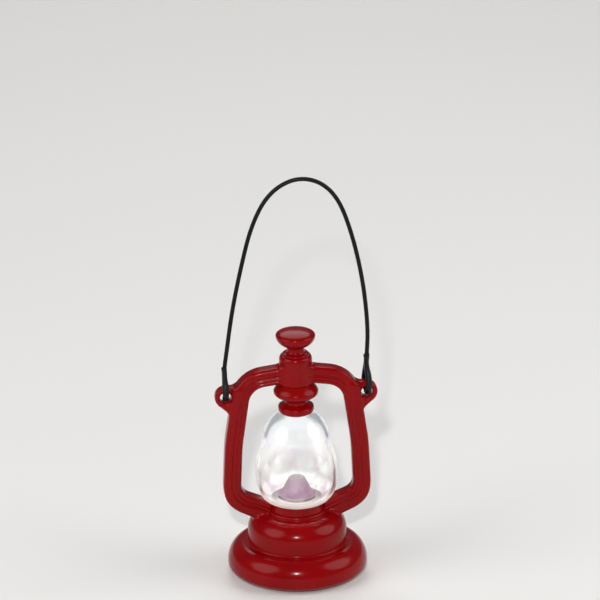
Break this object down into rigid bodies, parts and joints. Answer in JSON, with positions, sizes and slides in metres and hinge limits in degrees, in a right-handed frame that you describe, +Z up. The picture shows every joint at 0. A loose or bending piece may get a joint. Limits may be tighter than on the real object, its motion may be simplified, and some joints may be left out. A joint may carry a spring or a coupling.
{
  "type": "lantern",
  "caption": "Small battery lantern shaped like an oil lamp: two-tier base, clear globe in a two-armed frame, knob on top and a carrying cord.",
  "frame": {"origin": "centre of the ring that the base stands on", "axes": "+Z up along the lamp's axis, the frame's arms and lugs along X, front towards -Y"},
  "size_m": [0.0754, 0.064, 0.1955],
  "materials": {
    "red_plastic": "deep red moulded plastic, high gloss",
    "clear_globe": "clear polished acrylic",
    "cord_black": "smooth black rubber cord",
    "sleeve_black": "shrunk black sleeve, satin",
    "black_plastic": "fine-grained black plastic",
    "screw_steel": "zinc-plated steel",
    "cell_steel": "nickel-plated steel",
    "contact_metal": "nickel-plated spring steel",
    "board_green": "green solder mask",
    "switch_case": "tinned steel can",
    "wire_cover": "smooth wire insulation",
    "burner_plastic": "pale lilac-grey moulded plastic, satin",
    "led_lens": "clear epoxy lens"
  },
  "bodies": {
    "lamp": {"base_shell": "red_plastic", "base_cover": "black_plastic", "cover_screws": "screw_steel", "battery_door": "black_plastic", "battery_door_screw": "screw_steel", "button_cells": "cell_steel", "negative_contact": "contact_metal", "positive_contact": "contact_metal", "circuit_board": "board_green", "resistor": "black_plastic", "switch_body": "switch_case", "led_wires": "wire_cover", "globe_seat": "red_plastic", "burner_plate": "burner_plastic", "burner_cone": "burner_plastic", "led_holder": "burner_plastic", "led": "led_lens", "globe": "clear_globe", "frame": "red_plastic", "frame_screws": "screw_steel", "hood": "red_plastic", "hood_screw": "screw_steel", "finial": "red_plastic"},
    "handle": {"handle_cord": "cord_black", "left_cord_sleeve": "sleeve_black", "right_cord_sleeve": "sleeve_black"},
    "switch": {"switch_slider": "black_plastic"}
  },
  "joints": [
    {"name": "handle_swing", "type": "hinge", "parent": "lamp", "child": "handle", "pos_m": [0, 0, 0.0918], "axis": [1, 0, 0], "range_deg": [-110, 110]},
    {"name": "switch_slide", "type": "slide", "parent": "lamp", "child": "switch", "axis": [1, 0, 0], "range_m": [0, 0.002]}
  ]
}
